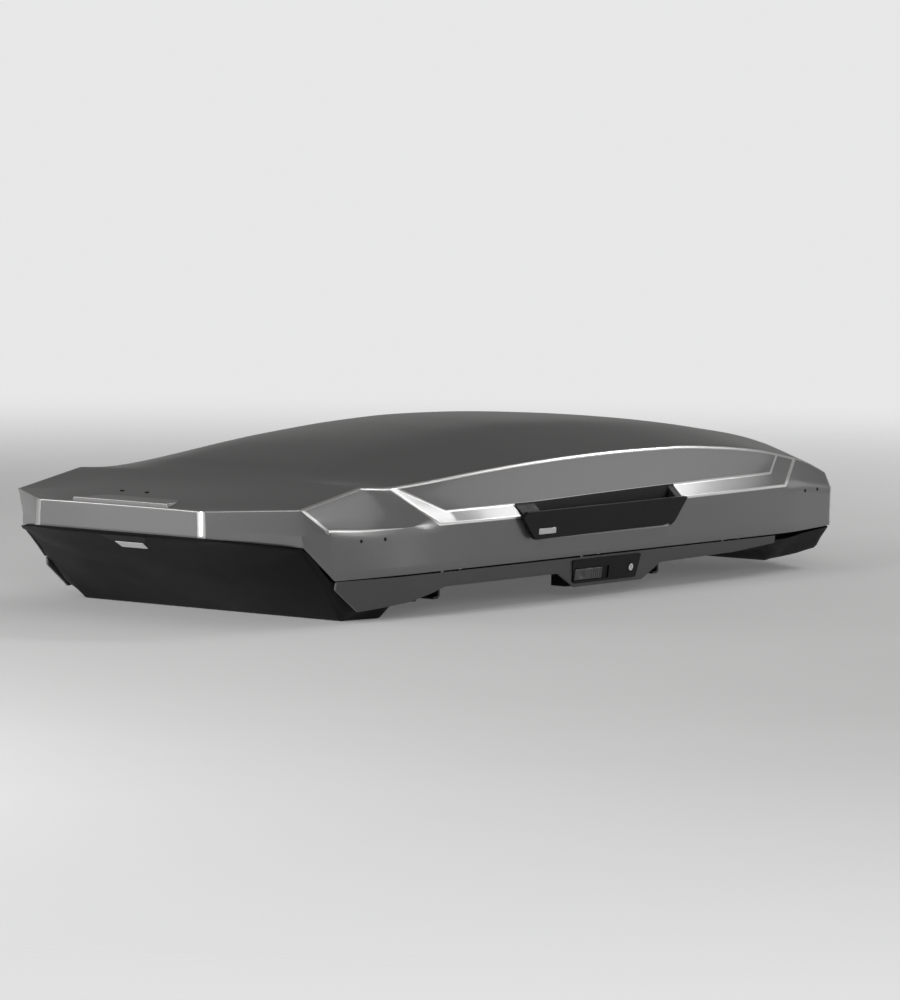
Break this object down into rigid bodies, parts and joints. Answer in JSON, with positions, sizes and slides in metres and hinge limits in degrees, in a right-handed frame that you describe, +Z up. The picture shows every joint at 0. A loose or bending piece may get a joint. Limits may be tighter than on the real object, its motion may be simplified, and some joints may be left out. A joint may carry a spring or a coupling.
{
  "type": "roof cargo box",
  "caption": "Hard-shell car roof cargo box with a faceted tail, stepped sides with black grips, a lid that opens from either side, lid lifters and quick crossbar clamps.",
  "frame": {"origin": "centre of the overall box's bottom: mid length, mid width, at the level of the keel pads that it stands on", "axes": "+Y towards the nose, the car's direction of travel; +X to the car's right; +Z up"},
  "size_m": [0.8702, 2.16, 0.365],
  "materials": {
    "lid_finish": "satin metallic gunmetal film on moulded sheet",
    "sill_plastic": "satin dark grey moulded",
    "base_plastic": "fine grained black moulded sheet",
    "trim_plastic": "satin black moulded",
    "latch_plastic": "satin charcoal",
    "badge_plastic": "blank satin silver plate",
    "knob_plastic": "satin red, so an undone clamp is seen",
    "rubber": "matt",
    "steel": "zinc plated",
    "jaw_steel": "black coated steel",
    "rail_aluminium": "extruded, plain",
    "chrome": "polished"
  },
  "bodies": {
    "base": {"base_tail": "base_plastic", "base_floor": "base_plastic", "base_nose": "base_plastic", "sill_trim_right": "sill_plastic", "sill_trim_left": "sill_plastic", "lock_plate_right": "base_plastic", "lock_plate_left": "base_plastic", "lock_case_right": "base_plastic", "lock_case_left": "base_plastic", "hinge_bracket_right": "steel", "hinge_bracket_left": "steel", "hinge_rod_right": "steel", "hinge_rod_left": "steel", "floor_rails": "rail_aluminium", "base_mat": "rubber", "rim_seal": "rubber", "badge_plate": "badge_plastic", "base_screws": "steel", "clamp_housing_rear_right": "base_plastic", "clamp_housing_rear_left": "base_plastic", "clamp_housing_front_right": "base_plastic", "clamp_housing_front_left": "base_plastic"},
    "rail_right": {"hinge_rail_right": "steel"},
    "lid": {"lid_shell": "lid_finish", "lid_ribs": "trim_plastic", "lid_rivets": "trim_plastic", "handle_right": "trim_plastic", "handle_left": "trim_plastic", "grip_tray_right": "trim_plastic", "grip_tray_left": "trim_plastic", "handle_badge_right": "badge_plastic", "handle_badge_left": "badge_plastic", "lid_pivot_right": "steel", "lid_pivot_left": "steel"},
    "rail_left": {"hinge_rail_left": "steel"},
    "lifter_tubes_right": {"lifter_tube_right": "trim_plastic"},
    "lifter_tubes_left": {"lifter_tube_left": "trim_plastic"},
    "lifter_rods_right": {"lifter_rod_right": "steel"},
    "lifter_rods_left": {"lifter_rod_left": "steel"},
    "latch_right": {"slide_latch_right": "latch_plastic", "lock_bar_right": "steel"},
    "latch_left": {"slide_latch_left": "latch_plastic", "lock_bar_left": "steel"},
    "key_right": {"key_cylinder_right": "chrome"},
    "key_left": {"key_cylinder_left": "chrome"},
    "knob_rear_right": {"clamp_knob_rear_right": "knob_plastic"},
    "jaw_rear_right": {"clamp_jaw_rear_right": "jaw_steel"},
    "knob_rear_left": {"clamp_knob_rear_left": "knob_plastic"},
    "jaw_rear_left": {"clamp_jaw_rear_left": "jaw_steel"},
    "knob_front_right": {"clamp_knob_front_right": "knob_plastic"},
    "jaw_front_right": {"clamp_jaw_front_right": "jaw_steel"},
    "knob_front_left": {"clamp_knob_front_left": "knob_plastic"},
    "jaw_front_left": {"clamp_jaw_front_left": "jaw_steel"}
  },
  "joints": [
    {"name": "lid_opens_from_right", "type": "hinge", "parent": "base", "child": "rail_right", "pos_m": [-0.398, 0, 0.1], "axis": [0, -1, 0], "range_deg": [0, 50]},
    {"name": "lid_opens_from_left", "type": "hinge", "parent": "rail_right", "child": "lid", "pos_m": [0.398, 0, 0.1], "axis": [0, 1, 0], "range_deg": [0, 50]},
    {"name": "left_rail_turns", "type": "hinge", "parent": "lid", "child": "rail_left", "pos_m": [-0.398, 0, 0.1], "axis": [0, 1, 0], "range_deg": [0, 50]},
    {"name": "right_lifters_tilt", "type": "hinge", "parent": "lid", "child": "lifter_tubes_right", "pos_m": [0.328, 0, 0.19], "axis": [0, -1, 0], "range_deg": [0, 14]},
    {"name": "right_lifters_extend", "type": "slide", "parent": "lifter_tubes_right", "child": "lifter_rods_right", "axis": [0.0844, 0, -0.9964], "range_m": [0, 0.0471]},
    {"name": "left_lifters_tilt", "type": "hinge", "parent": "lid", "child": "lifter_tubes_left", "pos_m": [-0.328, 0, 0.19], "axis": [0, 1, 0], "range_deg": [0, 14]},
    {"name": "left_lifters_extend", "type": "slide", "parent": "lifter_tubes_left", "child": "lifter_rods_left", "axis": [-0.0844, 0, -0.9964], "range_m": [0, 0.0471]},
    {"name": "right_latch_slides", "type": "slide", "parent": "base", "child": "latch_right", "axis": [0, 1, 0], "range_m": [0, 0.025]},
    {"name": "right_key_turns", "type": "hinge", "parent": "base", "child": "key_right", "pos_m": [0.40787, 0.126, 0.056], "axis": [0.9923, 0, -0.124], "range_deg": [0, 90]},
    {"name": "left_latch_slides", "type": "slide", "parent": "base", "child": "latch_left", "axis": [0, 1, 0], "range_m": [0, 0.025]},
    {"name": "left_key_turns", "type": "hinge", "parent": "base", "child": "key_left", "pos_m": [-0.40787, 0.126, 0.056], "axis": [-0.9923, 0, -0.124], "range_deg": [0, 90]},
    {"name": "rear_right_knob_turns", "type": "hinge", "parent": "base", "child": "knob_rear_right", "pos_m": [0.3, -0.478, 0.1], "axis": [0, 0, 1], "range_deg": [0, 1080]},
    {"name": "rear_right_jaw_drops", "type": "slide", "parent": "base", "child": "jaw_rear_right", "axis": [0, 0, -1], "range_m": [0, 0.012]},
    {"name": "rear_left_knob_turns", "type": "hinge", "parent": "base", "child": "knob_rear_left", "pos_m": [-0.3, -0.478, 0.1], "axis": [0, 0, 1], "range_deg": [0, 1080]},
    {"name": "rear_left_jaw_drops", "type": "slide", "parent": "base", "child": "jaw_rear_left", "axis": [0, 0, -1], "range_m": [0, 0.012]},
    {"name": "front_right_knob_turns", "type": "hinge", "parent": "base", "child": "knob_front_right", "pos_m": [0.3, 0.312, 0.1], "axis": [0, 0, 1], "range_deg": [0, 1080]},
    {"name": "front_right_jaw_drops", "type": "slide", "parent": "base", "child": "jaw_front_right", "axis": [0, 0, -1], "range_m": [0, 0.012]},
    {"name": "front_left_knob_turns", "type": "hinge", "parent": "base", "child": "knob_front_left", "pos_m": [-0.3, 0.312, 0.1], "axis": [0, 0, 1], "range_deg": [0, 1080]},
    {"name": "front_left_jaw_drops", "type": "slide", "parent": "base", "child": "jaw_front_left", "axis": [0, 0, -1], "range_m": [0, 0.012]}
  ],
  "couplings": [
    {"joint": "left_rail_turns", "follows": "lid_opens_from_right", "ratio": 1},
    {"joint": "right_lifters_tilt", "follows": "lid_opens_from_left", "ratio": 0.27209},
    {"joint": "right_lifters_extend", "follows": "lid_opens_from_left", "m_per_rad": 0.053086},
    {"joint": "left_lifters_tilt", "follows": "lid_opens_from_right", "ratio": 0.27209},
    {"joint": "left_lifters_extend", "follows": "lid_opens_from_right", "m_per_rad": 0.053086},
    {"joint": "rear_right_jaw_drops", "follows": "rear_right_knob_turns", "m_per_rad": 0.00063656},
    {"joint": "rear_left_jaw_drops", "follows": "rear_left_knob_turns", "m_per_rad": 0.00063656},
    {"joint": "front_right_jaw_drops", "follows": "front_right_knob_turns", "m_per_rad": 0.00063656},
    {"joint": "front_left_jaw_drops", "follows": "front_left_knob_turns", "m_per_rad": 0.00063656}
  ]
}
